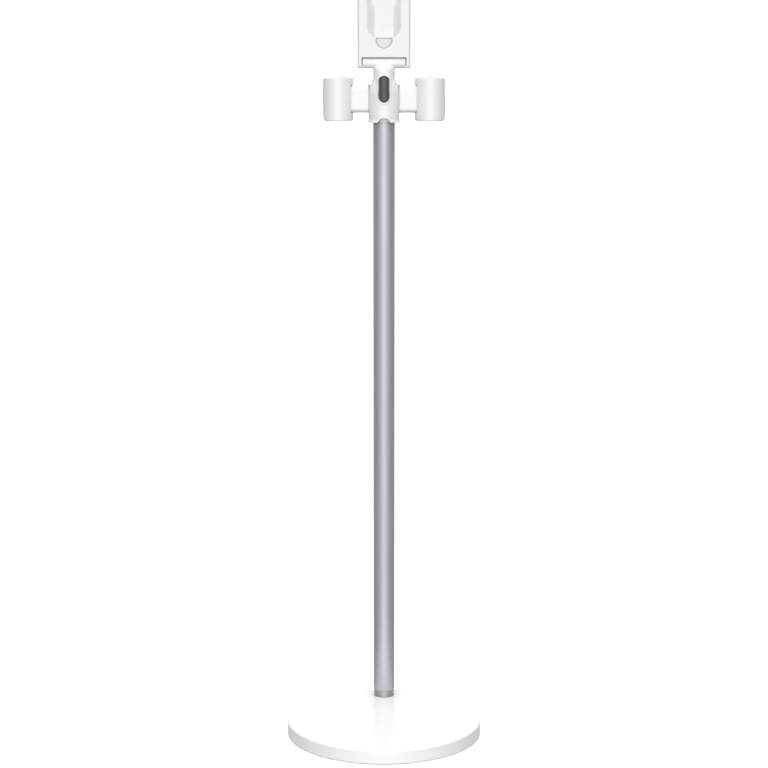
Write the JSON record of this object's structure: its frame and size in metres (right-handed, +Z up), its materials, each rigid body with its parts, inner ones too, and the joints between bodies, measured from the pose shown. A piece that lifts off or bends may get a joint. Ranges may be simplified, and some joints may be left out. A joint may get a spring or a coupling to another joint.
{
  "type": "stick vacuum floor stand",
  "caption": "Free-standing storage stand for a cordless stick vacuum: round weighted base, slim pole, accessory cups on arms and a tilting dock plate with a tapered channel.",
  "frame": {"origin": "centre of the round base, on the floor", "axes": "+Z up along the pole, +X to the right, -Y towards the front, where the button and the dock channel face; the pole stands 112 mm behind the origin"},
  "size_m": [0.284, 0.284, 1.094],
  "materials": {
    "white_gloss_plastic": "moulded white ABS, glossy",
    "white_satin_plastic": "moulded white ABS, semi-gloss",
    "grey_plastic": "light grey moulded plastic, satin",
    "dark_grey_plastic": "dark grey moulded plastic, satin",
    "anodised_aluminium": "bead-blasted and grey anodised",
    "die_cast_zinc": "die-cast zinc, satin",
    "cast_iron": "as cast",
    "zinc_plated_steel": "zinc plated",
    "sintered_bronze": "oil-filled sintered bronze",
    "nylon_washer": "black nylon",
    "foot_rubber": "matt moulded rubber"
  },
  "bodies": {
    "stand": {"base_cover": "white_gloss_plastic", "base_weight": "cast_iron", "bottom_plate": "grey_plastic", "foot_1": "foot_rubber", "foot_2": "foot_rubber", "foot_3": "foot_rubber", "foot_4": "foot_rubber", "foot_5": "foot_rubber", "plate_screw_1": "zinc_plated_steel", "plate_screw_2": "zinc_plated_steel", "plate_screw_3": "zinc_plated_steel", "plate_screw_4": "zinc_plated_steel", "plate_screw_5": "zinc_plated_steel", "pole_foot": "die_cast_zinc", "pole_tube": "anodised_aluminium", "foot_bolt": "zinc_plated_steel", "foot_washer": "zinc_plated_steel", "head_housing": "white_gloss_plastic", "socket_liner": "grey_plastic", "button_axle": "zinc_plated_steel", "button_spring": "zinc_plated_steel", "crossbar": "white_gloss_plastic", "crossbar_screw_1": "zinc_plated_steel", "crossbar_screw_2": "zinc_plated_steel", "cup_left": "white_gloss_plastic", "cup_right": "white_gloss_plastic", "hinge_bush_left": "sintered_bronze", "hinge_bush_right": "sintered_bronze", "hinge_washer_left": "nylon_washer", "hinge_washer_right": "nylon_washer"},
    "button": {"release_button": "dark_grey_plastic", "latch_pin": "zinc_plated_steel"},
    "dock": {"dock_front": "white_satin_plastic", "dock_back": "white_satin_plastic", "pocket_insert": "grey_plastic", "dock_screw_1": "zinc_plated_steel", "dock_screw_2": "zinc_plated_steel", "dock_screw_3": "zinc_plated_steel", "dock_screw_4": "zinc_plated_steel", "hinge_pin": "zinc_plated_steel", "hinge_cap_left": "white_satin_plastic", "hinge_cap_right": "white_satin_plastic"}
  },
  "joints": [
    {"name": "button_press", "type": "hinge", "parent": "stand", "child": "button", "pos_m": [0, 0.097, 0.941], "axis": [-1, 0, 0], "range_deg": [0, 7], "stiffness_Nm_per_rad": 0.3, "springref_deg": -5.73, "deforming": ["button_spring"]},
    {"name": "dock_tilt", "type": "hinge", "parent": "stand", "child": "dock", "pos_m": [0, 0.112, 0.973], "axis": [-1, 0, 0], "range_deg": [-15, 15]}
  ]
}
